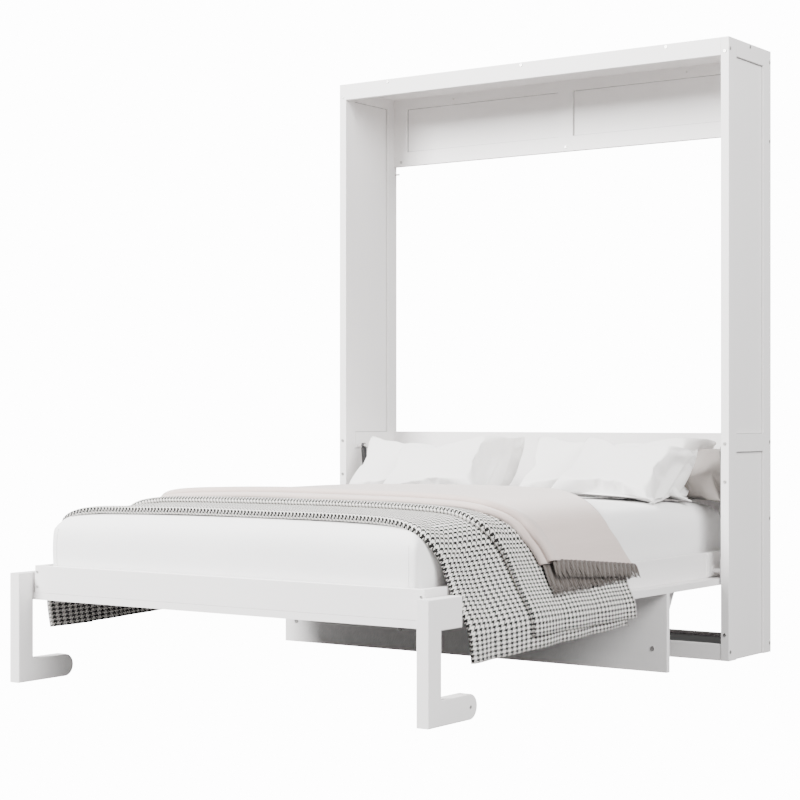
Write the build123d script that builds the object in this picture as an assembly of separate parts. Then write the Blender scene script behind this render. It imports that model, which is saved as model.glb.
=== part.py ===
from build123d import *
import math
import os

# Fold-down wall bed, resting open.  X runs to the right, Y towards the wall
# (the wall plane is Y = 0), Z up from the floor.  Millimetres throughout.

# ---- Driving dimensions -------------------------------------------------
cabinet_width = 1632
cabinet_height = 2096
cabinet_depth = 337
side_thickness = 30
stile_width = 60
rail_width = 58
board = 20
infill_thickness = 14
tongue = 6
eased_edge = 1.5

mid_rail_bottom = 702
mid_rail_top = 762
valance_bottom = 1812
wall_hole_spacing = 1000
wall_hole_radius = 3.5
headboard_bottom = 437
headboard_top = 763
base_height = 55

pivot_y = -294
pivot_z = 300
pin_radius = 8
running_clearance = 0.05

bed_half_width = 731
bed_foot = -2017
bed_head = -62
rail_bottom = 275
rail_top = 360
front_panel_half_width = 779
front_panel_thickness = 21
foot_notch_inner = 738
foot_notch_length = 389

mattress_half_width = 690
mattress_length = 1889
mattress_head = -105.5
mattress_bottom = 300
mattress_top = 535
mattress_corner = 80
mattress_side_corner = 90
pillow_thickness = 90
pillow_lean = 30
throw_foot = -1905
throw_head = -900
throw_hem = 175
beige_foot = -1640
beige_head = -760
beige_hem = 300

slat_count = 14
slat_width = 70
slat_pitch = 135
slat_thickness = 10

shelf_front = -716
brace_width = 45
brace_reach = 120

leg_inner = 743
leg_thickness = 40.6
leg_front = -2073
leg_depth = 60
leg_height = 338
leg_arm_bottom = 253
leg_arm_length = 161
leg_foot_height = 70
leg_foot_length = 234
leg_pivot_y = -1950
leg_pivot_radius = 6
leg_bolt_head_radius = 10
leg_bolt_head_height = 5

strut_x = 757
strut_upper_y = -262
strut_upper_z = 712
strut_lower_radius = 90
strut_lower_angle = 22
cylinder_radius = 11
cylinder_length = 300
rod_radius = 4

# ---- Values worked out from them ----------------------------------------
half_width = cabinet_width / 2
inner_half_width = half_width - side_thickness
front = -cabinet_depth
post_back = front + stile_width
panel_bottom = rail_bottom - front_panel_thickness
leg_pivot_z = (leg_arm_bottom + leg_height) / 2
strut_lower_y = pivot_y + strut_lower_radius * math.cos(math.radians(strut_lower_angle))
strut_lower_z = pivot_z + strut_lower_radius * math.sin(math.radians(strut_lower_angle))


# ---- Small shared shapes ------------------------------------------------
def block(x_range, y_range, z_range):
    """A square-edged block between three pairs of limits."""
    ranges = (x_range, y_range, z_range)
    size = [high - low for low, high in ranges]
    centre = [(high + low) / 2 for low, high in ranges]
    return Pos(*centre) * Box(*size)


def plank(x_range, y_range, z_range, radius=eased_edge):
    """A block whose four long edges are eased with a small radius."""
    shape = block(x_range, y_range, z_range)
    lengths = [high - low for low, high in (x_range, y_range, z_range)]
    long_axis = (Axis.X, Axis.Y, Axis.Z)[lengths.index(max(lengths))]
    return fillet(shape.edges().filter_by(long_axis), radius)


def rod_between(start, direction, radius, length):
    """A round bar that starts at a point and runs along a unit direction."""
    plane = Plane(origin=start, z_dir=direction)
    return plane * Cylinder(radius, length, align=(Align.CENTER, Align.CENTER, Align.MIN))


def left_of(shape):
    """The same piece on the other side of the bed."""
    return mirror(shape, about=Plane.YZ)


class Screw:
    """A socket-head furniture bolt: head on the surface, shank into the wood."""

    head_height = 2
    socket_depth = 1.2

    def __init__(self, point, inward, head_radius=6, shank_radius=3, length=24):
        outward = tuple(-value for value in inward)
        head = rod_between(point, outward, head_radius, self.head_height)
        rim = head.faces().sort_by_distance(point)[-1].edges()
        head = fillet(rim, self.head_height * 0.4)
        reach = self.head_height - self.socket_depth
        socket_start = tuple(p + o * reach for p, o in zip(point, outward))
        socket_plane = Plane(origin=socket_start, z_dir=outward)
        hexagon = RegularPolygon(head_radius * 0.5, 6)
        socket = extrude(socket_plane * hexagon, self.socket_depth + 1)
        shank = rod_between(point, inward, shank_radius, length)
        self.solid = head - socket + shank
        self.bore = rod_between(point, inward, shank_radius + 0.3, length + 1)


def drilled(piece, screws):
    """The piece with a clearance hole for every screw that reaches it."""
    limits = piece.bounding_box()
    for screw in screws:
        bore = screw.bore.bounding_box()
        apart = any(
            (
                bore.max.X < limits.min.X or bore.min.X > limits.max.X,
                bore.max.Y < limits.min.Y or bore.min.Y > limits.max.Y,
                bore.max.Z < limits.min.Z or bore.min.Z > limits.max.Z,
            )
        )
        if not apart:
            piece = piece - screw.bore
    return piece


def export(name, shape):
    """Write one node; several loose solids go out as one compound."""
    if isinstance(shape, (list, tuple)):
        shape = Compound(children=list(shape))
    export_step(shape, f"parts/{name}.step")


# ---- Screws -------------------------------------------------------------
def cabinet_screws():
    """Bolts on the post fronts, the outer sides, the back edges and the top."""
    screws = []
    for side in (-1, 1):
        post_x = side * (half_width - side_thickness / 2)
        for z in (88, 602, 730, 2048):
            screws.append(Screw((post_x, front, z), (0, 1, 0), length=40))
        for z in (32, 467, 733, 1782, 2057):
            screws.append(Screw((side * half_width, -10, z), (-side, 0, 0), length=50))
        for y, z in ((front + 10, 31), (front + 10, 2057), (-170, 2086)):
            screws.append(Screw((side * half_width, y, z), (-side, 0, 0), length=50))
    for x in (-590, 0, 581):
        screws.append(Screw((x, front, cabinet_height - 10), (0, 1, 0), length=40))
    for x in (-750, 0, 750):
        screws.append(Screw((x, -board, valance_bottom + 16), (0, 1, 0), length=14))
    return screws


def bed_screws():
    """Bolts in the shelf board, the rail corners and the panel's outer strip."""
    screws = []
    for x in (-728, -264, 264, 728):
        screws.append(Screw((x, shelf_front, 75), (0, 1, 0), head_radius=8, length=18))
    for side in (-1, 1):
        outer = side * bed_half_width
        for z in (rail_bottom + 20, rail_top - 20):
            screws.append(Screw((outer - side * board / 2, bed_foot, z), (0, 1, 0), 4, 2.5, 40))
        for y in (-1500, -1000, -500):
            screws.append(Screw((side * 758, y, panel_bottom), (0, 0, 1), 4, 2.5, 15))
    return screws


# ---- Cabinet ------------------------------------------------------------
def cabinet_side(screws):
    """The right side: two stiles, two rails, and two tongued infill panels."""
    x = (inner_half_width, half_width)
    groove_x = [inner_half_width + (side_thickness - infill_thickness) / 2]
    groove_x.append(groove_x[0] + infill_thickness)
    between = (post_back, -stile_width)
    tongued = (post_back - tongue, -stile_width + tongue)
    top_rail_bottom = cabinet_height - rail_width

    upper = block(groove_x, tongued, (mid_rail_top - tongue, top_rail_bottom + tongue))
    lower = block(groove_x, tongued, (0, mid_rail_bottom + tongue))
    pieces = {
        "front_post": plank(x, (front, post_back), (0, cabinet_height)),
        "rear_stile": plank(x, (-stile_width, 0), (0, cabinet_height)),
        "side_top_rail": block(x, between, (top_rail_bottom, cabinet_height)),
        "side_mid_rail": block(x, between, (mid_rail_bottom, mid_rail_top)),
    }
    for name in pieces:
        pieces[name] = drilled(pieces[name] - upper - lower, screws)
    pieces["upper_infill"] = upper
    pieces["lower_infill"] = lower
    return pieces


def cabinet_top(screws):
    """Top panel and the fascia rail across its front."""
    x = (-inner_half_width, inner_half_width)
    top_z = (cabinet_height - board, cabinet_height)
    top_panel = block(x, (front + board, 0), top_z)
    fascia = plank(x, (front, front + board), (cabinet_height - 60, cabinet_height))
    return drilled(top_panel, screws), drilled(fascia, screws)


def valance(screws):
    """Rear panel under the top: two rails, three stiles, two recessed infills."""
    y = (-board, 0)
    top = cabinet_height - board
    rails = [(valance_bottom, valance_bottom + 55), (top - 40, top)]
    stile_z = (rails[0][1], rails[1][0])
    edge = inner_half_width
    stile_x = [(-edge, -edge + 64), (-31, 31), (edge - 64, edge)]
    infills = []
    for left, right in zip(stile_x[:-1], stile_x[1:]):
        infill_x = (left[1] - tongue, right[0] + tongue)
        infills.append(block(infill_x, (-12, -4), (stile_z[0] - tongue, stile_z[1] + tongue)))
    rail_solids = [block((-edge, edge), y, z) - infills[0] - infills[1] for z in rails]
    stile_solids = [block(x, y, stile_z) - infills[0] - infills[1] for x in stile_x]
    rail_solids = [drilled(rail, screws) for rail in rail_solids]
    for side in (-1, 1):
        start = (side * wall_hole_spacing / 2, -board - 1, top - board)
        rail_solids[1] = rail_solids[1] - rod_between(start, (0, 1, 0), wall_hole_radius, board + 2)
    return rail_solids, stile_solids, infills


def cabinet_base():
    """Kick rail, rear base rail and the dark panel between them."""
    x = (-inner_half_width, inner_half_width)
    kick = plank(x, (front + 2, front + 2 + board), (0, base_height))
    rear = plank(x, (-board, 0), (0, base_height))
    panel = block(x, (front + 2 + board, -board), (32, 44))
    return kick, rear, panel


def pivot_bearing():
    """Right pivot: steel plate on the post and a flanged bush through both."""
    bush_radius = 11
    bore_radius = pin_radius + running_clearance
    centre = (inner_half_width - 4, pivot_y, pivot_z)
    plate = block((centre[0], inner_half_width), (-332, -279), (255, 345))
    hole = rod_between(centre, (1, 0, 0), bush_radius, 26)
    bush = hole + rod_between((centre[0] - 2, pivot_y, pivot_z), (1, 0, 0), 15, 2)
    bush = bush - rod_between((700, pivot_y, pivot_z), (1, 0, 0), bore_radius, 150)
    return plate - hole, bush, hole


def strut_upper_bracket():
    """Right bracket on the mid rail with the stud of the gas strut."""
    plate = block((inner_half_width - 3, inner_half_width), (-276, -236), (706, 758))
    start = (strut_x - 7, strut_upper_y, strut_upper_z)
    stud = rod_between(start, (1, 0, 0), 5, inner_half_width - 3 - start[0])
    return plate + stud


# ---- Bed ----------------------------------------------------------------
def bed_frame(screws):
    """Four rails, the wide front panel under them, cleats, beam and slats."""
    inner = bed_half_width - board
    rail_z = (rail_bottom, rail_top)
    side_rail = plank((inner, bed_half_width), (bed_foot + board - 2, bed_head), rail_z)
    bolt_start = (inner, leg_pivot_y, leg_pivot_z)
    side_rail = side_rail - rod_between(bolt_start, (1, 0, 0), leg_pivot_radius + 0.3, board + 1)
    recess = rod_between(bolt_start, (1, 0, 0), leg_bolt_head_radius + 0.3, leg_bolt_head_height)
    side_rail = side_rail - recess
    foot_y = (bed_foot, bed_foot + board - 2)
    foot_rail = plank((-bed_half_width, bed_half_width), foot_y, rail_z)
    head_rail = plank((-inner, inner), (bed_head - board, bed_head), rail_z)
    inside_y = (bed_foot + board - 2, bed_head - board)
    support_z = (rail_bottom, mattress_bottom - slat_thickness)
    right_cleat = plank((inner - 25, inner), inside_y, support_z)
    cleats = [right_cleat, left_of(right_cleat)]
    beam = plank((-30, 30), inside_y, support_z)
    slats = []
    for number in range(slat_count):
        y = bed_foot + 65 + number * slat_pitch
        slat_y = (y, y + slat_width)
        slats.append(plank((-inner, inner), slat_y, (support_z[1], mattress_bottom)))
    return (drilled(side_rail, screws), drilled(foot_rail, screws), head_rail,
            cleats, beam, slats)


def front_panel(screws):
    """The face of the closed cabinet, notched at the foot for the two legs."""
    z = (panel_bottom, rail_bottom)
    width = front_panel_half_width
    panel = block((-width, width), (bed_foot, bed_head), z)
    for side in (-1, 1):
        x = sorted((side * foot_notch_inner, side * (width + 1)))
        panel = panel - block(x, (bed_foot - 1, bed_foot + foot_notch_length), (z[0] - 1, z[1] + 1))
    return drilled(panel, screws)


def shelf(screws):
    """Support board under the bed, a shelf when closed, with four braces."""
    width = front_panel_half_width
    support = plank((-width, width), (shelf_front, shelf_front + board), (0, panel_bottom))
    back = shelf_front + board
    foot_z = 60
    drop = brace_width * math.sqrt(2)
    outline = [
        (back, foot_z),
        (back + brace_reach, panel_bottom),
        (back + brace_reach - drop * 0.6, panel_bottom),
        (back, foot_z + drop * 1.2),
    ]
    braces = []
    for x in (-728, -264, 264, 728):
        profile = Plane.YZ.offset(x - 9) * make_face(Polyline(*outline, close=True))
        braces.append(extrude(profile, 18))
    return drilled(support, screws), [drilled(brace, screws) for brace in braces]


def bed_pivot():
    """Right pivot plate with the strut stud, and the pivot pin on its flange."""
    plate_x = (bed_half_width, bed_half_width + 6)
    plate = block(plate_x, (-330, -170), (280, 355))
    stud_start = (plate_x[1], strut_lower_y, strut_lower_z)
    plate = plate + rod_between(stud_start, (1, 0, 0), 5, strut_x - 7 - plate_x[1])
    flange = rod_between((plate_x[1], pivot_y, pivot_z), (1, 0, 0), 16, 5)
    pin = flange + rod_between((plate_x[1], pivot_y, pivot_z), (1, 0, 0), pin_radius, 64)
    return plate, pin


def leg_bolt():
    """Right shoulder bolt that the leg turns on, with its spacer collar."""
    inner = (bed_half_width - board, leg_pivot_y, leg_pivot_z)
    outer = (bed_half_width, leg_pivot_y, leg_pivot_z)
    head = rod_between(inner, (1, 0, 0), leg_bolt_head_radius, leg_bolt_head_height)
    shank = rod_between(inner, (1, 0, 0), leg_pivot_radius, leg_inner + 31 - inner[0])
    collar = rod_between(outer, (1, 0, 0), 13, leg_inner - bed_half_width - 0.5)
    return head + shank + collar


# ---- Legs and struts ----------------------------------------------------
def leg():
    """Right leg: a C of solid wood, arm above, upright in front, foot below."""
    end_radius = leg_foot_height / 2
    straight = leg_foot_length - end_radius
    low_left = (Align.MIN, Align.MIN)
    upright = Rectangle(leg_depth, leg_height, align=low_left)
    arm = Rectangle(leg_arm_length, leg_height - leg_arm_bottom, align=low_left)
    foot = Rectangle(straight, leg_foot_height, align=low_left)
    foot_end = Pos(straight, end_radius) * Circle(end_radius)
    outline = upright + Pos(0, leg_arm_bottom) * arm + foot + foot_end
    sketch_plane = Plane(origin=(leg_inner, leg_front, 0), x_dir=(0, 1, 0), z_dir=(1, 0, 0))
    body = extrude(sketch_plane * outline, leg_thickness)
    rims = body.faces().filter_by(Axis.X).edges()
    body = fillet(rims, 3)
    pivot = (leg_inner - 1, leg_pivot_y, leg_pivot_z)
    return body - rod_between(pivot, (1, 0, 0), leg_pivot_radius + running_clearance, 34)


def leg_plug():
    """Right small bolt on the outer face of the foot's round end."""
    y = leg_front + leg_foot_length - leg_foot_height / 2
    return Screw((leg_inner + leg_thickness, y, leg_foot_height / 2), (-1, 0, 0), 4.5, 2.5, 20)


def strut():
    """Right gas strut: cylinder hung from the upper stud, rod down to the lower."""
    upper = Vector(strut_x, strut_upper_y, strut_upper_z)
    lower = Vector(strut_x, strut_lower_y, strut_lower_z)
    down = (lower - upper).normalized()
    eye_radius = 9
    axis_x = Vector(1, 0, 0)
    stud_hole = rod_between(upper - axis_x * 20, axis_x, 5 + running_clearance, 40)
    eye = rod_between(upper - axis_x * 5, axis_x, eye_radius, 10)
    tube_start = upper + down * (eye_radius - 1)
    tube = rod_between(tube_start, down, cylinder_radius, cylinder_length)
    wall = 1.5
    bore_start = tube_start + down * 20
    hollow = rod_between(bore_start, down, cylinder_radius - wall, cylinder_length - 26)
    guide = rod_between(tube_start, down, rod_radius + running_clearance, cylinder_length + 1)
    guide = guide - rod_between(tube_start, down, rod_radius + 1, 19)
    cylinder = eye + tube - hollow - guide - stud_hole

    length = (lower - upper).length
    rod_start = upper + down * 130
    rod = rod_between(rod_start, down, rod_radius, length - 130 - eye_radius + 2)
    piston = rod_between(rod_start, down, cylinder_radius - wall - running_clearance, 10)
    lower_eye = rod_between(lower - axis_x * 5, axis_x, eye_radius, 10)
    lower_hole = rod_between(lower - axis_x * 20, axis_x, 7, 40)
    return cylinder, rod + piston + lower_eye - lower_hole


# ---- Bedding ------------------------------------------------------------
def mattress():
    """Foam mattress with generous corner radii."""
    y = (mattress_head - mattress_length, mattress_head)
    x = (-mattress_half_width, mattress_half_width)
    shape = block(x, y, (mattress_bottom, mattress_top))
    shape = fillet(shape.edges().filter_by(Axis.Z), mattress_side_corner)
    return fillet(shape.faces().sort_by(Axis.Z)[-1].edges(), mattress_corner)


def pillow(centre_x, foot_y, length, width):
    """A plain cushion leaning back from its foot on the mattress."""
    shape = Box(length, width, pillow_thickness, align=(Align.CENTER, Align.MIN, Align.MIN))
    shape = Rot(pillow_lean, 0, 0) * fillet(shape.edges(), pillow_thickness * 0.42)
    drop = shape.bounding_box().min.Z
    return Pos(centre_x, foot_y, mattress_top + 1 - drop) * shape


def throw(foot, head, lift, thickness, hang):
    """A blanket over the mattress; hang is its underside down the right flank."""
    crown = mattress_top + lift
    shoulder = mattress_half_width - 24 + lift / 2
    under = [(shoulder, crown)] + hang
    over = [(x + thickness, z) for x, z in reversed(hang)]
    over.append((shoulder + thickness / 2, crown + thickness))
    outline = [(-x, z) for x, z in reversed(under)] + under
    outline += over + [(-x, z) for x, z in reversed(over)]
    profile = make_face(Polyline(*outline, close=True))
    return extrude(Plane.XZ.offset(-head) * profile, head - foot)


# ---- Build --------------------------------------------------------------
os.makedirs("parts", exist_ok=True)
cabinet_bolts = cabinet_screws()
bed_bolts = bed_screws()

right_side = cabinet_side(cabinet_bolts)
left_side = {name: left_of(piece) for name, piece in right_side.items()}
plate, bush, bush_seat = pivot_bearing()
right_side["front_post"] = right_side["front_post"] - bush_seat
left_side["front_post"] = left_side["front_post"] - left_of(bush_seat)
for name in right_side:
    export(f"right_{name}", right_side[name])
    export(f"left_{name}", left_side[name])

top_panel, fascia_rail = cabinet_top(cabinet_bolts)
export("top_panel", top_panel)
export("fascia_rail", fascia_rail)

valance_rails, valance_stiles, valance_infills = valance(cabinet_bolts)
export("valance_rails", valance_rails)
export("valance_stiles", valance_stiles)
export("valance_infills", valance_infills)
rear_x = (-inner_half_width, inner_half_width)
headboard = plank(rear_x, (-board, 0), (headboard_bottom, headboard_top))
export("headboard_panel", drilled(headboard, cabinet_bolts))

kick_rail, rear_base_rail, base_panel = cabinet_base()
export("kick_rail", drilled(kick_rail, cabinet_bolts))
export("rear_base_rail", drilled(rear_base_rail, cabinet_bolts))
export("base_panel", base_panel)

for side, place in (("right", lambda shape: shape), ("left", left_of)):
    export(f"{side}_pivot_plate", place(plate))
    export(f"{side}_pivot_bush", place(bush))
upper_bracket = strut_upper_bracket()
export("strut_upper_brackets", [upper_bracket, left_of(upper_bracket)])
export("cabinet_bolts", [screw.solid for screw in cabinet_bolts])

side_rail, foot_rail, head_rail, cleats, beam, slats = bed_frame(bed_bolts)
export("right_side_rail", side_rail)
export("left_side_rail", left_of(side_rail))
export("foot_rail", foot_rail)
export("head_rail", head_rail)
export("slat_cleats", cleats)
export("centre_beam", beam)
export("slats", slats)
export("front_panel", front_panel(bed_bolts))
support_board, support_braces = shelf(bed_bolts)
export("support_board", support_board)
export("support_braces", support_braces)
export("bed_bolts", [screw.solid for screw in bed_bolts])

bed_plate, pin = bed_pivot()
shoulder_bolt = leg_bolt()
c_leg = leg()
plug = leg_plug()
cylinder, rod = strut()
c_leg = c_leg - plug.bore
for side, place in (("right", lambda shape: shape), ("left", left_of)):
    export(f"{side}_bed_pivot_plate", place(bed_plate))
    export(f"{side}_pivot_pin", place(pin))
    export(f"{side}_leg_bolt", place(shoulder_bolt))
    export(f"{side}_leg", place(c_leg))
    export(f"{side}_foot_bolt", place(plug.solid))
    export(f"{side}_strut_cylinder", place(cylinder))
    export(f"{side}_strut_rod", place(rod))

export("mattress", mattress())
pillows = {
    "left_back_pillow": pillow(-330, -350, 600, 330),
    "left_front_pillow": pillow(-320, -542, 560, 330),
    "right_back_pillow": pillow(265, -350, 580, 330),
    "right_front_pillow": pillow(250, -542, 550, 330),
    "taupe_pillow": pillow(645, -345, 170, 310),
}
for name, cushion in pillows.items():
    export(name, cushion)
lip = front_panel_half_width + 0.6
long_hang = [(704, 455), (lip, 280), (lip, throw_hem)]
short_hang = [(714, 459), (lip + 4, beige_hem)]
export("houndstooth_throw", throw(throw_foot, throw_head, 0.6, 4, long_hang))
export("beige_throw", throw(beige_foot, beige_head, 7, 5, short_hang))
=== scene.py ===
import math
import random

import bpy
import bmesh
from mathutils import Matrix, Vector, noise


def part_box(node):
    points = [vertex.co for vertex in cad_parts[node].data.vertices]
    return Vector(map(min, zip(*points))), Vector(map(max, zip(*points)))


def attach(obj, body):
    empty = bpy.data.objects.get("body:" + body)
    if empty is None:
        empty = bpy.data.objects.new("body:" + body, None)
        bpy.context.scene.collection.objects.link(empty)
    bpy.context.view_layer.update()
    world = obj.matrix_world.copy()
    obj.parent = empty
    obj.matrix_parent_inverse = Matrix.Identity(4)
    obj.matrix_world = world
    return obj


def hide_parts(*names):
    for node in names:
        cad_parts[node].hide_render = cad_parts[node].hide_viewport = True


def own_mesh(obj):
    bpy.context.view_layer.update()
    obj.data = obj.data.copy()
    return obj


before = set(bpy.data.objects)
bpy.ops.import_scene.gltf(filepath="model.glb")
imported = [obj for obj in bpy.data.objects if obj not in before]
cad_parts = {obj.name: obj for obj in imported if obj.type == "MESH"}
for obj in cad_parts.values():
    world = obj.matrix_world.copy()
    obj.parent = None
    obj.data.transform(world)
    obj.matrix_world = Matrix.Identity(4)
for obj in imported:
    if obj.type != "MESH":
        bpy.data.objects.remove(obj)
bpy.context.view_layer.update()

# ---- Camera, lights and floor ---------------------------------------------------------
# The bed is seen from its right, a little above the mattress, with a long lens.
camera_data = bpy.data.cameras.new("camera")
camera_data.lens = 85.8
camera_data.sensor_width = 36
camera_data.shift_y = 0.0232
camera_data.clip_end = 100
camera = bpy.data.objects.new("camera", camera_data)
camera.location = (3.5961, -6.1938, 0.8142)
camera.rotation_euler = (math.radians(90), 0, math.radians(35.18))
bpy.context.scene.collection.objects.link(camera)
bpy.context.scene.camera = camera


def soft_light(name, place, target, size, power):
    """A large square light that faces a point on the bed."""
    light = bpy.data.lights.new(name, "AREA")
    light.shape = "SQUARE"
    light.size = size
    light.energy = power
    holder = bpy.data.objects.new(name, light)
    holder.location = place
    holder.rotation_euler = (Vector(target) - Vector(place)).to_track_quat("-Z", "Y").to_euler()
    bpy.context.scene.collection.objects.link(holder)


soft_light("key_light", (-2.6, -5.6, 4.2), (0, -0.9, 0.6), 2.6, 1700)
soft_light("fill_light", (5.0, -2.8, 3.8), (0.4, -0.9, 0.8), 3.0, 640)


def seen_and_bounced(tree, seen, bounced, output):
    """Show one shader to the camera and light the object with the other."""
    path = tree.nodes.new("ShaderNodeLightPath")
    mix = tree.nodes.new("ShaderNodeMixShader")
    tree.links.new(path.outputs["Is Camera Ray"], mix.inputs[0])
    tree.links.new(bounced.outputs[0], mix.inputs[1])
    tree.links.new(seen.outputs[0], mix.inputs[2])
    tree.links.new(mix.outputs[0], output.inputs["Surface"])


world = bpy.data.worlds.new("studio")
world.use_nodes = True
sky = world.node_tree.nodes["Background"]
sky.inputs["Color"].default_value = (1, 1, 1, 1)
sky.inputs["Strength"].default_value = 0.8
backdrop = world.node_tree.nodes.new("ShaderNodeBackground")
backdrop.inputs["Strength"].default_value = 14.0
backdrop.inputs["Color"].default_value = (1, 1, 1, 1)
seen_and_bounced(world.node_tree, backdrop, sky, world.node_tree.nodes["World Output"])
bpy.context.scene.world = world

bpy.ops.object.select_all(action="DESELECT")
bpy.ops.mesh.primitive_plane_add(size=60, location=(0, 0, -0.0005))
floor = bpy.context.object
floor.name = "studio_floor"
floor_paint = bpy.data.materials.new("studio_floor")
floor_paint.use_nodes = True
matte = floor_paint.node_tree.nodes["Principled BSDF"]
matte.inputs["Base Color"].default_value = (0.12, 0.118, 0.118, 1)
matte.inputs["Roughness"].default_value = 0.9
glow = floor_paint.node_tree.nodes.new("ShaderNodeEmission")
glow.inputs["Strength"].default_value = 14.0
floor_output = floor_paint.node_tree.nodes["Material Output"]
seen_and_bounced(floor_paint.node_tree, glow, matte, floor_output)
floor.data.materials.append(floor_paint)


# ---- White paint ----------------------------------------------------------------------
# The cabinet and the bed frame are solid wood and board under a satin white paint, which
# shows a faint long grain and a little unevenness in its gloss.
class Value:
    """One shader socket, with Python's operators standing for Math nodes."""

    def __init__(self, material, socket):
        self.material = material
        self.socket = socket

    def math(self, operation, *others):
        values = {0: self}
        for index, other in enumerate(others):
            values[index + 1] = other
        return self.material.node("ShaderNodeMath", {"operation": operation}, values)

    def __add__(self, other):
        return self.math("ADD", other)

    def __radd__(self, other):
        return self.math("ADD", other)

    def __sub__(self, other):
        return self.math("SUBTRACT", other)

    def __rsub__(self, other):
        return self.material.node("ShaderNodeMath", {"operation": "SUBTRACT"}, {0: other, 1: self})

    def __mul__(self, other):
        return self.math("MULTIPLY", other)

    def __rmul__(self, other):
        return self.math("MULTIPLY", other)

    def __truediv__(self, other):
        return self.math("DIVIDE", other)

    def __lt__(self, other):
        return self.math("LESS_THAN", other)



class Finish:
    """A material in the making: its node tree and its surface shader."""

    def __init__(self, name, **constants):
        self.material = bpy.data.materials.new(name)
        self.material.use_nodes = True
        self.tree = self.material.node_tree
        self.shader = self.tree.nodes["Principled BSDF"]
        for socket, value in constants.items():
            self.shader.inputs[socket.replace("_", " ")].default_value = value

    def node(self, kind, settings=None, values=None, output=0):
        """Add a node: settings first, then values or links for its sockets."""
        made = self.tree.nodes.new(kind)
        for key, value in (settings or {}).items():
            if key == "stops":
                ramp = made.color_ramp
                while len(ramp.elements) < len(value):
                    ramp.elements.new(0.5)
                for element, (place, colour) in zip(ramp.elements, value):
                    element.position = place
                    element.color = colour
            else:
                setattr(made, key, value)
        for key, value in (values or {}).items():
            if isinstance(value, Value):
                self.tree.links.new(value.socket, made.inputs[key])
            else:
                made.inputs[key].default_value = value
        return Value(self, made.outputs[output])

    def place(self, kind="Object"):
        return self.node("ShaderNodeTexCoord", output=kind)

    def parts(self, vector):
        split = self.node("ShaderNodeSeparateXYZ", None, {0: vector})
        outputs = split.socket.node.outputs
        return [Value(self, outputs[index]) for index in range(3)]

    def stretched(self, vector, scale):
        return self.node("ShaderNodeMapping", None, {"Vector": vector, "Scale": scale})

    def noise(self, vector, scale, detail=3.0, roughness=0.5):
        sockets = {"Vector": vector, "Scale": scale, "Detail": detail, "Roughness": roughness}
        return self.node("ShaderNodeTexNoise", None, sockets)

    def mix(self, amount, first, second):
        sockets = {"Factor": amount, 6: first, 7: second}
        return self.node("ShaderNodeMix", {"data_type": "RGBA"}, sockets, output=2)

    def ramp(self, amount, *stops):
        return self.node("ShaderNodeValToRGB", {"stops": stops}, {"Fac": amount})

    def bump(self, height, strength, distance):
        sockets = {"Height": height, "Strength": strength, "Distance": distance}
        self.set("Normal", self.node("ShaderNodeBump", None, sockets))

    def set(self, socket, value):
        self.tree.links.new(value.socket, self.shader.inputs[socket])


def painted_wood(name, light, shade, grain_scale, strength):
    """Satin paint over wood whose grain runs the way grain_scale is smallest."""
    finish = Finish(name, Specular_IOR_Level=0.4)
    grain = finish.noise(finish.stretched(finish.place(), grain_scale), 1.0, 4.0, 0.6)
    cloud = finish.noise(finish.place(), 3.0, 2.0)
    finish.set("Base Color", finish.mix(grain * 0.6 + cloud * 0.4, shade, light))
    finish.set("Roughness", 0.36 + grain * 0.14)
    finish.bump(grain, strength, 0.0006)
    return finish.material


paint_light = (0.84, 0.822, 0.815, 1)
paint_shade = (0.79, 0.770, 0.762, 1)
paint_upright = painted_wood("paint_upright", paint_light, paint_shade, (90, 90, 3), 0.12)
paint_across = painted_wood("paint_across", paint_light, paint_shade, (3, 90, 90), 0.12)
paint_along = painted_wood("paint_along", paint_light, paint_shade, (90, 3, 90), 0.12)


def finish_node(material, *nodes):
    """Give CAD pieces their material."""
    for name in nodes:
        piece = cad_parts[name]
        if not piece.data.materials:
            piece.data.materials.append(material)
        for slot in piece.material_slots:
            slot.material = material


sides = ("left", "right")
for side in sides:
    upright = ("front_post", "rear_stile", "upper_infill", "lower_infill", "leg")
    finish_node(paint_upright, *[f"{side}_{piece}" for piece in upright])
    along = ("side_top_rail", "side_mid_rail", "side_rail")
    finish_node(paint_along, *[f"{side}_{piece}" for piece in along])
finish_node(
    paint_across, "top_panel", "fascia_rail", "valance_rails", "valance_infills",
    "headboard_panel", "kick_rail", "rear_base_rail", "foot_rail", "head_rail",
    "support_board",
)
finish_node(paint_upright, "valance_stiles", "strut_upper_brackets")
finish_node(paint_along, "front_panel", "slat_cleats", "centre_beam", "support_braces")

# ---- Dark base panel ------------------------------------------------------------------
# A thin board closes the plinth between its two rails. Its matte near-black colour is painted shade,
# standing in for the deep shadow inside the open plinth.
dark = Finish("plinth_painted_shade", Specular_IOR_Level=0.3)
speckle = dark.noise(dark.place(), 420.0, 2.0)
# Near-black colour with a faint random speckle: painted shade of the plinth's shadowed inside.
dark.set("Base Color", dark.mix(speckle, (0.018, 0.017, 0.016, 1), (0.035, 0.032, 0.03, 1)))
dark.set("Roughness", 0.55 + speckle * 0.15)
dark.bump(speckle, 0.08, 0.0003)
finish_node(dark.material, "base_panel")

# ---- Slats ----------------------------------------------------------------------------
# Plain poplar slats with a clear coat, laid loose on the cleats and the centre beam.
poplar = Finish("clear_poplar", Specular_IOR_Level=0.35)
rings = poplar.noise(poplar.stretched(poplar.place(), (2.5, 45, 45)), 1.0, 5.0, 0.6)
poplar.set("Base Color", poplar.ramp(
    rings, (0.3, (0.50, 0.35, 0.20, 1)), (0.55, (0.66, 0.49, 0.31, 1)), (0.75, (0.74, 0.58, 0.40, 1))))
poplar.set("Roughness", 0.45 + rings * 0.15)
poplar.bump(rings, 0.15, 0.0006)
finish_node(poplar.material, "slats")


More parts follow.
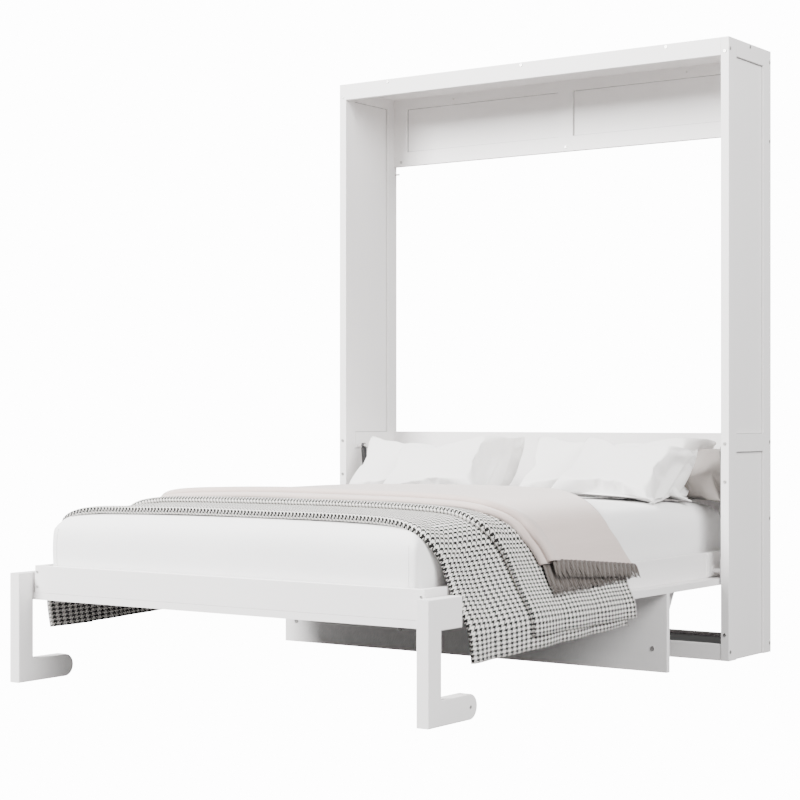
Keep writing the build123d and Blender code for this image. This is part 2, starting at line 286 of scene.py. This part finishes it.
# ---- Fittings -------------------------------------------------------------------------
# Bolts, pivots and struts: zinc plate, brushed steel, turned brass, black enamel, chrome.
def fitting(name, light, shade, metallic, roughness, scale):
    """A metal or enamel finish with fine scratches along one direction."""
    finish = Finish(name, Metallic=metallic)
    scratches = finish.noise(finish.stretched(finish.place(), scale), 1.0, 4.0)
    finish.set("Base Color", finish.mix(scratches, shade, light))
    finish.set("Roughness", scratches * 0.2 + roughness)
    finish.bump(scratches, 0.06, 0.0002)
    return finish.material


zinc = fitting("zinc_plate", (0.60, 0.59, 0.58, 1), (0.42, 0.41, 0.40, 1), 1.0, 0.28, (300, 300, 300))
steel = fitting("brushed_steel", (0.60, 0.60, 0.61, 1), (0.48, 0.48, 0.49, 1), 1.0, 0.28, (60, 60, 900))
brass = fitting("turned_brass", (0.72, 0.56, 0.28, 1), (0.60, 0.45, 0.20, 1), 1.0, 0.22, (900, 60, 60))
enamel_light = (0.035, 0.035, 0.036, 1)
enamel_shade = (0.02, 0.02, 0.02, 1)
enamel = fitting("black_enamel", enamel_light, enamel_shade, 0.0, 0.22, (80, 80, 80))
white_fitting = fitting("white_fitting", paint_light, paint_shade, 0.0, 0.36, (80, 80, 80))
chrome = fitting("chromed_rod", (0.82, 0.82, 0.84, 1), (0.76, 0.76, 0.78, 1), 1.0, 0.06, (200, 200, 20))
finish_node(zinc, "cabinet_bolts", "bed_bolts")
for side in sides:
    finish_node(zinc, f"{side}_foot_bolt", f"{side}_leg_bolt")
    finish_node(steel, f"{side}_pivot_plate")
    finish_node(white_fitting, f"{side}_bed_pivot_plate", f"{side}_pivot_pin")
    finish_node(brass, f"{side}_pivot_bush")
    finish_node(enamel, f"{side}_strut_cylinder")
    finish_node(chrome, f"{side}_strut_rod")


# ---- Panel joints ---------------------------------------------------------------------
# The thin boards of the sides and the valance float in grooves. Thin grey strips of painted
# shadow run round each of them, standing in for the shade in the recessed joint, and read as a fine
# dark line.
def dress(piece, material, body="bed"):
    """Give a new piece its finish and let it ride on its body."""
    piece.data.materials.clear()
    piece.data.materials.append(material)
    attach(piece, body)


def joint_shadow_lines(name, opening, face_axis, face):
    """Four fine strips of painted shadow inside an opening (low and high corners) on one face of its
    panel.
    """
    width = 0.0024
    half_thickness = 0.0004
    sides_of_opening = [axis for axis in range(3) if axis != face_axis]
    strips = []
    for axis in sides_of_opening:
        for end in (0, 1):
            low = [opening[0][i] for i in range(3)]
            high = [opening[1][i] for i in range(3)]
            inward = width if end == 0 else -width
            limits = sorted((opening[end][axis], opening[end][axis] + inward))
            low[axis], high[axis] = limits
            low[face_axis] = face - half_thickness
            high[face_axis] = face + half_thickness
            centre = [(a + b) / 2 for a, b in zip(low, high)]
            bpy.ops.object.select_all(action="DESELECT")
            bpy.ops.mesh.primitive_cube_add(size=1, location=centre)
            strip = bpy.context.object
            strip.scale = [b - a for a, b in zip(low, high)]
            bpy.ops.object.transform_apply(location=True, rotation=True, scale=True)
            strips.append(strip)
    for strip in strips:
        strip.select_set(True)
    bpy.ops.object.join()
    lines = bpy.context.object
    lines.name = name
    dress(lines, joint_shadow, "cabinet")


# Grey strips: painted shadow of the recessed joints, not a colour of the paint.
joint_shadow_light = (0.42, 0.41, 0.405, 1)
joint_shadow_dark = (0.34, 0.33, 0.325, 1)
joint_shadow = painted_wood("joint_shadow", joint_shadow_light, joint_shadow_dark, (9, 9, 9), 0.05)
groove_depth = 0.006
for side in sides:
    post_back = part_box(f"{side}_front_post")[1][1]
    stile_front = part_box(f"{side}_rear_stile")[0][1]
    mid_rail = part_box(f"{side}_side_mid_rail")
    heights = {
        "upper": (mid_rail[1][2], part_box(f"{side}_side_top_rail")[0][2]),
        "lower": (0.0, mid_rail[0][2]),
    }
    for level, (bottom, top) in heights.items():
        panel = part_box(f"{side}_{level}_infill")
        opening = ((0, post_back, bottom), (0, stile_front, top))
        for end, face_name in ((0, "low"), (1, "high")):
            joint_shadow_lines(f"{side}_{level}_joint_{face_name}", opening, 0, panel[end][0])
valance_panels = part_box("valance_infills")
half_stile = 0.031
valance_bottom = valance_panels[0][2] + groove_depth
valance_top = valance_panels[1][2] - groove_depth
for name, left, right in (
    ("left", valance_panels[0][0] + groove_depth, -half_stile),
    ("right", half_stile, valance_panels[1][0] - groove_depth),
):
    opening = ((left, 0, valance_bottom), (right, 0, valance_top))
    joint_shadow_lines(f"{name}_valance_joint", opening, 1, valance_panels[0][1])


# ---- Mattress -------------------------------------------------------------------------
# A foam mattress in a smooth white knit cover, with a corded seam up each corner at the
# foot. It is crowned in the middle and lies loose on the slats.
def fabric(name, light, shade, weave, strength, sheen, crease=1.0):
    """Woven or knitted cloth: fine crossed threads, a soft cloud of tone, some sheen."""
    finish = Finish(name, Specular_IOR_Level=0.2, Sheen_Weight=sheen, Sheen_Roughness=0.6)
    place = finish.place()
    x, y, z = finish.parts(place)
    warp = (x * weave + z * weave * 0.5).math("SINE")
    weft = (y * weave + z * weave * 0.87).math("SINE")
    threads = (warp + weft) * 0.25 + 0.5
    cloud = finish.noise(place, 5.0, 3.0)
    finish.set("Base Color", finish.mix(cloud * 0.7 + threads * 0.3, shade, light))
    finish.set("Roughness", 0.78 + cloud * 0.15)
    finish.bump(threads * 0.5 + finish.noise(place, 9.0, 5.0) * crease, strength, 0.0008)
    return finish.material


def smoothstep(low, high, value):
    share = min(1.0, max(0.0, (value - low) / (high - low)))
    return share * share * (3 - 2 * share)


mattress_low, mattress_high = (Vector(corner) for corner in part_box("mattress"))
mattress_centre = (mattress_low + mattress_high) / 2
mattress_half = (mattress_high - mattress_low) / 2
edge_height = mattress_high.z - 0.022
crown_height = 0.030
corner_radius = 0.075
top_radius = 0.055
shoulder = 0.37


def mattress_surface(x, y):
    """Height of the crowned top at a place on the mattress, without its rounded edge."""
    across = max(0.0, 1 - abs(x / mattress_half.x) ** 3)
    along = max(0.0, 1 - abs((y - mattress_centre.y) / mattress_half.y) ** 4)
    return edge_height + crown_height * math.sqrt(across * along)


bpy.ops.object.select_all(action="DESELECT")
bpy.ops.mesh.primitive_cube_add(size=1, location=mattress_centre)
mattress = bpy.context.object
mattress.name = "mattress_cushion"
mattress.scale = (mattress_half.x * 2, mattress_half.y * 2, mattress_half.z * 2)
bpy.ops.object.transform_apply(location=True, rotation=True, scale=True)
bpy.ops.object.mode_set(mode="EDIT")
bpy.ops.mesh.select_all(action="DESELECT")
edit = bmesh.from_edit_mesh(mattress.data)
for edge in edit.edges:
    first, second = (vertex.co for vertex in edge.verts)
    edge.select = abs(first.z - second.z) > 0.1
bmesh.update_edit_mesh(mattress.data)
bpy.ops.mesh.bevel(offset=corner_radius, segments=6, affect="EDGES")
bpy.ops.mesh.select_all(action="DESELECT")
edit = bmesh.from_edit_mesh(mattress.data)
for face in edit.faces:
    face.select = face.normal.z > 0.9
bmesh.update_edit_mesh(mattress.data)
for inset in (0.012, 0.02, 0.03, 0.06, 0.12, 0.12, 0.12):
    bpy.ops.mesh.inset(thickness=inset)
bpy.ops.object.mode_set(mode="OBJECT")
bpy.ops.object.select_all(action="DESELECT")
mattress.select_set(True)
bpy.context.view_layer.objects.active = mattress
remesh = mattress.modifiers.new("even_mesh", "REMESH")
remesh.mode = "VOXEL"
remesh.voxel_size = 0.014
bpy.ops.object.modifier_apply(modifier="even_mesh")
for vertex in mattress.data.vertices:
    place = vertex.co
    inside_x = mattress_half.x - abs(place.x)
    inside_y = mattress_half.y - abs(place.y - mattress_centre.y)
    lift = 1 - min(1.0, max(0.0, min(inside_x, inside_y)) / top_radius)
    drop = top_radius * (1 - math.sqrt(1 - lift * lift))
    if place.z > shoulder:
        target = mattress_surface(place.x, place.y) - drop
        share = (place.z - shoulder) / (mattress_high.z - shoulder)
        place.z = shoulder + (target - shoulder) * share
    wave = noise.noise(Vector((place.x * 3, place.y * 3, place.z * 5)))
    along = (place.y - mattress_centre.y) / mattress_half.y
    outward = Vector((place.x / mattress_half.x, along, 0))
    belly = math.sin(math.pi * smoothstep(mattress_low.z, edge_height, place.z))
    place += outward * (wave * 0.003 - 0.004 + 0.003 * belly)
smooth = mattress.modifiers.new("relax", "SMOOTH")
smooth.factor = 0.5
smooth.iterations = 6
bpy.ops.object.modifier_apply(modifier="relax")
bpy.ops.object.shade_smooth()
knit_light = (0.86, 0.855, 0.85, 1)
knit_shade = (0.80, 0.79, 0.785, 1)
knit = fabric("white_knit", knit_light, knit_shade, 2600, 0.12, 0.3)
dress(mattress, knit)
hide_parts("mattress")


def seam_cord(name, points, radius):
    """A thin cord of cloth sewn into a seam."""
    curve = bpy.data.curves.new(name, "CURVE")
    curve.dimensions = "3D"
    curve.bevel_depth = radius
    curve.bevel_resolution = 2
    curve.use_fill_caps = True
    spline = curve.splines.new("POLY")
    spline.points.add(len(points) - 1)
    for point, place in zip(spline.points, points):
        point.co = (*place, 1)
    holder = bpy.data.objects.new(name, curve)
    bpy.context.scene.collection.objects.link(holder)
    bpy.ops.object.select_all(action="DESELECT")
    holder.select_set(True)
    bpy.context.view_layer.objects.active = holder
    bpy.ops.object.convert(target="MESH")
    bpy.ops.object.shade_smooth()
    return bpy.context.object


def nearest_on(piece, place, outward):
    """The point of a piece's surface that a ray from outside meets."""
    start = Vector(place) + Vector(outward) * 0.2
    hit, point, normal, face = piece.ray_cast(start, -Vector(outward))
    return point if hit else Vector(place)


seam_radius = 0.0022
seam_sunk = 0.0006
seam_foot = mattress_low.z + 0.012
seam_step = 0.0115
for number, side in enumerate((-1, 1)):
    corner = Vector((side * mattress_half.x, mattress_low.y, 0))
    inboard = Vector((side * 0.045, -0.03, 0))
    outward = Vector((side * 0.62, -1, 0)).normalized()
    seam_points = []
    for step in range(15):
        at = corner - inboard + Vector((0, 0, seam_foot + step * seam_step))
        seam_points.append(nearest_on(mattress, at, outward) - outward * seam_sunk)
    seam = seam_cord(f"mattress_corner_seam_{number}", seam_points, seam_radius)
    dress(seam, knit)


# ---- Pillows --------------------------------------------------------------------------
# Four loosely filled ivory cotton pillows with a flat sewn flange, and a small plain taupe
# one. They lean on each other and on the headboard, with their feet on the mattress.
ivory_light = (0.84, 0.825, 0.81, 1)
ivory_shade = (0.76, 0.745, 0.73, 1)
cotton = fabric("ivory_cotton", ivory_light, ivory_shade, 3300, 0.45, 0.25, 7.0)
case_thickness = 0.02
last_frame = 22
largest_swell = 0.085


def stuffed(name, length, width, flange, seed):
    """A slack pillow, blown up from a flat slab by cloth simulation."""
    bpy.ops.object.select_all(action="DESELECT")
    bpy.ops.mesh.primitive_cube_add(size=1)
    pillow = bpy.context.object
    pillow.name = name
    pillow.scale = (length, width, case_thickness)
    bpy.ops.object.transform_apply(location=True, rotation=True, scale=True)
    remesh = pillow.modifiers.new("even_mesh", "REMESH")
    remesh.mode = "VOXEL"
    remesh.voxel_size = 0.0085
    bpy.ops.object.modifier_apply(modifier="even_mesh")
    filled = pillow.vertex_groups.new(name="filled")
    for vertex in pillow.data.vertices:
        inside = min(length / 2 - abs(vertex.co.x), width / 2 - abs(vertex.co.y))
        filled.add([vertex.index], smoothstep(flange * 0.8, flange * 1.3, inside), "REPLACE")
        wave = noise.noise(Vector((vertex.co.x * 7 + seed, vertex.co.y * 7, seed)))
        vertex.co.z = vertex.co.z * (1 if inside > flange else 0.45) + wave * 0.008
    start = [vertex.co.copy() for vertex in pillow.data.vertices]
    cloth = pillow.modifiers.new("filling", "CLOTH")
    cloth.settings.quality = 4
    cloth.settings.mass = 0.25
    cloth.settings.tension_stiffness = 12
    cloth.settings.compression_stiffness = 12
    cloth.settings.shear_stiffness = 4
    cloth.settings.bending_stiffness = 0.35
    cloth.settings.use_pressure = True
    cloth.settings.uniform_pressure_force = 5
    cloth.settings.vertex_group_pressure = "filled"
    cloth.settings.effector_weights.gravity = 0
    cloth.collision_settings.use_collision = False
    cloth.point_cache.frame_start = 1
    cloth.point_cache.frame_end = last_frame
    for step in range(1, last_frame + 1):
        bpy.context.scene.frame_set(step)
    bpy.ops.object.modifier_apply(modifier="filling")
    bpy.context.scene.frame_set(1)
    for vertex, before in zip(pillow.data.vertices, start):
        move = vertex.co - before
        if move.length > largest_swell:
            vertex.co = before + move * (largest_swell / move.length)
    smooth = pillow.modifiers.new("relax", "SMOOTH")
    smooth.iterations = 2
    bpy.ops.object.modifier_apply(modifier="relax")
    return pillow


pillow_gap = 0.004
pressed_depth = 0.02
rearmost = -0.058


def put_pillow(pillow, centre, lean, turn, roll, sag):
    """Lean a pillow, let its middle sag, and press its foot onto the mattress."""
    cosines = [math.cos(math.radians(angle)) for angle in (lean, turn, roll)]
    sines = [math.sin(math.radians(angle)) for angle in (lean, turn, roll)]
    for vertex in pillow.data.vertices:
        x, y, z = vertex.co
        z -= sag * (1 - (y / 0.2) ** 2)
        x, y = x * cosines[2] - y * sines[2], x * sines[2] + y * cosines[2]
        y, z = y * cosines[0] - z * sines[0], y * sines[0] + z * cosines[0]
        x, y = x * cosines[1] - y * sines[1], x * sines[1] + y * cosines[1]
        place = Vector((x, y, z)) + Vector(centre)
        ground = mattress_surface(place.x, place.y) + pillow_gap
        if place.z < ground + pressed_depth:
            sunk = smoothstep(-0.10, pressed_depth, place.z - ground)
            place.z = ground + pressed_depth * sunk
        place.y = min(place.y, rearmost)
        vertex.co = place
    bpy.ops.object.shade_smooth()


def finish_pillow(pillow, material, node):
    """Smooth a pillow, give it its finish, let it ride on the bed and hide the part it stands in for.
    """
    subdivide = pillow.modifiers.new("smooth_cloth", "SUBSURF")
    subdivide.levels = 1
    subdivide.render_levels = 1
    bpy.ops.object.modifier_apply(modifier="smooth_cloth")
    dress(pillow, material)
    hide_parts(node)
    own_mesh(pillow)


pillow_list = (
    ("left_back_pillow", 0.78, 0.43, (-0.385, -0.35, 0.606), 50, 0, 0, 1.7),
    ("left_front_pillow", 0.56, 0.43, (-0.235, -0.50, 0.600), 40, -4, 10, 4.2),
    ("right_back_pillow", 0.78, 0.44, (0.315, -0.25, 0.612), 44, 6, 0, 7.9),
    ("right_front_pillow", 0.54, 0.43, (0.455, -0.43, 0.605), 38, 5, -7, 9.4),
)
for node, length, width, centre, lean, turn, roll, seed in pillow_list:
    pillow = stuffed(node + "_cushion", length, width, 0.028, seed)
    put_pillow(pillow, centre, lean, turn, roll, 0.02)
    finish_pillow(pillow, cotton, node)

taupe_light = (0.30, 0.27, 0.25, 1)
taupe_shade = (0.22, 0.195, 0.18, 1)
taupe = fabric("taupe_cotton", taupe_light, taupe_shade, 3300, 0.4, 0.25, 5.0)
pillow = stuffed("taupe_pillow_cushion", 0.36, 0.34, 0.004, 12.6)
put_pillow(pillow, (0.618, -0.150, 0.590), 40, -4, 3, 0.0)
finish_pillow(pillow, taupe, "taupe_pillow")


# ---- Houndstooth throw ----------------------------------------------------------------
# A woven throw in a black and off-white check. Four dark and four light threads alternate
# both ways in a two-and-two twill. Its front edge is turned under, a pleat lies behind it,
# and it hangs down both flanks.
def flank_route():
    """Cross-section of the draped bed, from its middle to below the front panel."""
    top = edge_height
    corners = [
        (0.0, top), (0.2, top), (0.4, top), (0.56, top - 0.001), (0.632, top - 0.012),
        (0.676, top - 0.038), (0.700, top - 0.080), (0.716, top - 0.130),
        (0.738, top - 0.180), (0.764, 0.285), (0.782, 0.245), (0.784, 0.205), (0.782, 0.150),
    ]
    route = []
    padded_corners = [corners[0]] + corners + [corners[-1]]
    for before, start, end, after in zip(
        padded_corners, padded_corners[1:], padded_corners[2:], padded_corners[3:]
    ):
        for step in range(12):
            share = step / 12
            point = []
            for a, b, c, d in zip(before, start, end, after):
                curve = 2 * b + (c - a) * share + (2 * a - 5 * b + 4 * c - d) * share ** 2
                point.append((curve + (3 * b - a - 3 * c + d) * share ** 3) / 2)
            route.append(Vector((point[0], 0, point[1])))
    route.append(Vector((corners[-1][0], 0, corners[-1][1])))
    return route


route = flank_route()
route_lengths = [0.0]
for start, end in zip(route, route[1:]):
    route_lengths.append(route_lengths[-1] + (end - start).length)


def on_route(distance):
    """Point and outward normal of the cross-section, a distance from the middle."""
    reach = min(abs(distance), route_lengths[-1] - 1e-6)
    index = max(i for i, length in enumerate(route_lengths[:-1]) if length <= reach)
    share = (reach - route_lengths[index]) / (route_lengths[index + 1] - route_lengths[index])
    point = route[index].lerp(route[index + 1], share)
    ahead = (route[min(index + 2, len(route) - 1)] - route[max(index - 1, 0)]).normalized()
    normal = Vector((-ahead.z, 0, ahead.x))
    if distance < 0:
        point = Vector((-point.x, 0, point.z))
        normal.x = -normal.x
    return point, normal


def pleat_path(turns):
    """Points on a folded strip seen from the side: y, height and half width."""
    path = []
    for index, (y, height, half) in enumerate(turns):
        onward = index in (0, len(turns) - 1)
        if not onward:
            onward = (turns[index + 1][0] - y) * (y - turns[index - 1][0]) > 0
        if onward:
            path.append((y, height, half))
            continue
        radius = (turns[index + 1][1] - height) / 2
        way = 1 if y > turns[index - 1][0] else -1
        for step in range(7):
            angle = math.pi * step / 6
            out = way * math.sin(angle) * radius
            path.append((y + out, height + radius * (1 - math.cos(angle)), half))
    return path


def walk(path, distance):
    """The place on a folded strip at a distance along it."""
    for start, end in zip(path, path[1:]):
        span = math.dist(start, end)
        if distance <= span:
            share = distance / span
            return tuple(a + (b - a) * share for a, b in zip(start, end))
        distance -= span
    return path[-1]


def between(table, value):
    """Read a table of pairs along a smooth curve through them."""
    for index, ((low, first), (high, second)) in enumerate(zip(table, table[1:])):
        if value > high and index < len(table) - 2:
            continue
        share = min(1.0, max(0.0, (value - low) / (high - low)))
        before = table[max(index - 1, 0)]
        after = table[min(index + 2, len(table) - 1)]
        slope_in = (second - before[1]) / (high - before[0]) * (high - low)
        slope_out = (after[1] - first) / (after[0] - low) * (high - low)
        cube, square = share ** 3, share ** 2
        start = (2 * cube - 3 * square + 1) * first + (cube - 2 * square + share) * slope_in
        return start + (3 * square - 2 * cube) * second + (cube - square) * slope_out


def steered(lines, y, reach):
    """Move a place of the flat strip to where its line runs across the bed."""
    for (low, first), (high, second) in zip(lines, lines[1:]):
        if y <= high or high == lines[-1][0]:
            share = (y - low) / (high - low)
            start = between(first, reach)
            return start + (between(second, reach) - start) * share


cloth_thickness = 0.0024


def lay_sheet(name, turns, lines, columns, rows, waves):
    """A folded sheet over the bed: columns across, rows along its folded strip."""
    path = pleat_path(turns)
    length = sum(math.dist(start, end) for start, end in zip(path, path[1:]))
    flat_half = max(half for y, height, half in turns)
    bpy.ops.object.select_all(action="DESELECT")
    bpy.ops.mesh.primitive_grid_add(x_subdivisions=columns, y_subdivisions=rows, size=1)
    cloth = bpy.context.object
    cloth.name = name
    uv = cloth.data.uv_layers.active
    for loop in cloth.data.loops:
        flat = cloth.data.vertices[loop.vertex_index].co
        uv.data[loop.index].uv = ((flat.x + 0.5) * flat_half * 2, (flat.y + 0.5) * length)
    for vertex in cloth.data.vertices:
        y, height, half = walk(path, (vertex.co.y + 0.5) * length)
        across = vertex.co.x * 2 * half
        point, normal = on_route(across)
        reach = abs(across)
        y = steered(lines, y, reach)
        crown = 0
        if abs(point.x) < mattress_half.x:
            crown = mattress_surface(point.x, y) - edge_height
        hang = smoothstep(0.70, 1.0, reach)
        base = height * (1 - 0.45 * hang)
        fold = math.sin(y * waves[0] + across * 1.3 + waves[1]) * waves[2]
        ripple = noise.noise(Vector((across * 5 + waves[1], y * 7, 2.3)))
        puff = noise.noise(Vector((across * 2.2, y * 3 + waves[1], 4.1)))
        loose = hang * (abs(fold) + 0.004 * ripple + 0.001) + 0.004 * (puff + 0.4)
        vertex.co = point + normal * (base + max(loose, 0.001)) + Vector((0, y, crown))
    thick = cloth.modifiers.new("thickness", "SOLIDIFY")
    thick.thickness = cloth_thickness
    thick.offset = 1
    bpy.ops.object.modifier_apply(modifier="thickness")
    bpy.ops.object.shade_smooth()
    return cloth, length


def twill(name):
    """The houndstooth check, worked out thread by thread from the piece's own UV map."""
    finish = Finish(name, Specular_IOR_Level=0.1, Sheen_Weight=0.05, Sheen_Roughness=0.7)
    u, v = finish.parts(finish.place("UV"))[:2]
    warp_thread = 0.0016
    weft_thread = 0.0029
    across = (u / warp_thread).math("FLOOR")
    along = (v / weft_thread).math("FLOOR")
    warp_on_top = (across + along).math("FLOORED_MODULO", 4.0) < 1.5
    warp_dark = across.math("FLOORED_MODULO", 8.0) < 3.5
    weft_dark = along.math("FLOORED_MODULO", 8.0) < 3.5
    dark = warp_on_top * warp_dark + (1 - warp_on_top) * weft_dark
    cloud = finish.noise(finish.place(), 40.0, 3.0)
    yarn_light = finish.mix(cloud, (0.66, 0.64, 0.61, 1), (0.80, 0.78, 0.75, 1))
    yarn_dark = finish.mix(cloud, (0.004, 0.004, 0.004, 1), (0.012, 0.011, 0.010, 1))
    finish.set("Base Color", finish.mix(dark, yarn_light, yarn_dark))
    finish.set("Roughness", 0.8 + cloud * 0.15)
    rib_u = (u * (2 * math.pi / warp_thread)).math("SINE")
    rib_v = (v * (2 * math.pi / weft_thread)).math("SINE")
    finish.bump((rib_u + rib_v) * 0.25 + cloud, 0.35, 0.0008)
    return finish.material


hound_turns = [
    (-1.78, 0.002, 1.030), (-1.933, 0.002, 1.030), (-1.91, 0.018, 1.030), (-1.84, 0.008, 1.030),
    (-1.00, 0.008, 1.005), (-1.655, 0.012, 0.985), (-1.63, 0.026, 0.985), (-1.56, 0.018, 0.985),
    (-0.95, 0.018, 0.985),
]
hound_lines = [
    (-1.935, (
        (0, -1.935), (0.5, -1.945), (0.66, -1.95), (0.75, -1.905), (0.9, -1.90), (1.09, -1.868),
    )),
    (-1.66, (
        (0, -1.66), (0.6, -1.67), (0.66, -1.665), (0.72, -1.62), (0.8, -1.588), (1.09, -1.565),
    )),
    (-0.95, (
        (0, -0.95), (0.6, -0.97), (0.69, -1.02), (0.77, -0.95), (0.9, -0.975), (1.09, -0.945),
    )),
]
hound, hound_length = lay_sheet(
    "houndstooth_cloth", hound_turns, hound_lines, 300, 230, (17.0, 0.6, 0.006))
dress(hound, twill("houndstooth_twill"))
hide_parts("houndstooth_throw")
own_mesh(hound)


# ---- Beige throw ----------------------------------------------------------------------
# A heavier greige wool throw, folded in four so that two rolled edges show in front, with
# a dark fringe on the ends that hang over the flanks.
beige_turns = [
    (-0.95, 0.022, 0.79), (-1.580, 0.022, 0.79), (-1.54, 0.036, 0.79), (-1.48, 0.026, 0.79),
    (-1.10, 0.026, 0.79), (-1.53, 0.034, 0.785), (-1.49, 0.052, 0.785), (-1.40, 0.039, 0.785),
    (-0.66, 0.039, 0.835),
]
beige_lines = [
    (-1.545, (
        (0, -1.53), (0.3, -1.53), (0.6, -1.545), (0.69, -1.482), (0.77, -1.425), (0.86, -1.40),
    )),
    (-0.66, (
        (0, -0.66), (0.3, -0.70), (0.45, -0.82), (0.57, -0.95), (0.68, -1.01),
        (0.77, -0.955), (0.86, -0.905),
    )),
]
beige, beige_length = lay_sheet(
    "beige_cloth", beige_turns, beige_lines, 240, 220, (12.0, 2.0, 0.004))
wool = fabric("greige_wool", (0.58, 0.49, 0.45, 1), (0.50, 0.41, 0.37, 1), 1900, 0.3, 0.5)
dress(beige, wool)

fringe_light = (0.12, 0.10, 0.088, 1)
fringe_shade = (0.045, 0.037, 0.032, 1)
fringe_material = fabric("taupe_fringe", fringe_light, fringe_shade, 2400, 0.4, 0.3)


def fringe(name, tassels, front, rear, height, lengths, side, seed):
    """Tassels of twisted yarn, one mesh, knotted into the throw's hem."""
    bpy.ops.object.select_all(action="DESELECT")
    bpy.ops.mesh.primitive_cylinder_add(vertices=6, radius=1, depth=1, end_fill_type="TRIFAN")
    tassel = bpy.context.object
    bpy.ops.object.mode_set(mode="EDIT")
    bpy.ops.mesh.select_all(action="DESELECT")
    edit = bmesh.from_edit_mesh(tassel.data)
    for edge in edit.edges:
        edge.select = abs(edge.verts[0].co.z - edge.verts[1].co.z) > 0.5
    bmesh.update_edit_mesh(tassel.data)
    bpy.ops.mesh.subdivide_edgering(number_cuts=5)
    bpy.ops.object.mode_set(mode="OBJECT")
    shape = [vertex.co.copy() for vertex in tassel.data.vertices]
    faces = [list(polygon.vertices) for polygon in tassel.data.polygons]
    bpy.data.objects.remove(tassel)
    draw = random.Random(seed)
    points = []
    all_faces = []
    for number in range(tassels):
        share = (number + draw.uniform(0.3, 0.7)) / tassels
        y = front + (rear - front) * share
        sway = draw.uniform(-0.004, 0.004)
        start = 0.776 + 0.052 * share
        hanging = lengths[0] + (lengths[1] - lengths[0]) * share
        own_length = hanging * draw.uniform(0.93, 1.05)
        width = draw.uniform(0.0026, 0.0036)
        first = len(points)
        for corner in shape:
            down = 0.5 - corner.z
            point, normal = on_route(side * (start + own_length * down))
            bulge = 0.55 + 0.6 * math.sin(math.pi * min(1.0, down + 0.1))
            out = height + 0.004 + 0.002 * math.sin(down * 6 + number)
            place = point + normal * (out + corner.x * 0.0018 * bulge)
            place.y = y + sway * down + corner.y * width * bulge
            points.append(place)
        all_faces += [[first + index for index in face] for face in faces]
    mesh = bpy.data.meshes.new(name)
    mesh.from_pydata(points, [], all_faces)
    piece = bpy.data.objects.new(name, mesh)
    bpy.context.scene.collection.objects.link(piece)
    bpy.context.view_layer.objects.active = piece
    piece.select_set(True)
    bpy.ops.object.mode_set(mode="EDIT")
    bpy.ops.mesh.select_all(action="SELECT")
    bpy.ops.mesh.normals_make_consistent(inside=False)
    bpy.ops.object.mode_set(mode="OBJECT")
    bpy.ops.object.shade_smooth()
    dress(piece, fringe_material)
    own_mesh(piece)
    return piece


tassel_count = 120
for side, side_name in ((-1, "left"), (1, "right")):
    upper = (-1.395, -0.912, 0.038, (0.064, 0.050))
    lower = (-1.43, -0.95, 0.024, (0.115, 0.045))
    fringe(f"{side_name}_upper_fringe", tassel_count, *upper, side, 5)
    fringe(f"{side_name}_lower_fringe", tassel_count, *lower, side, 8)
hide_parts("beige_throw")
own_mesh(beige)
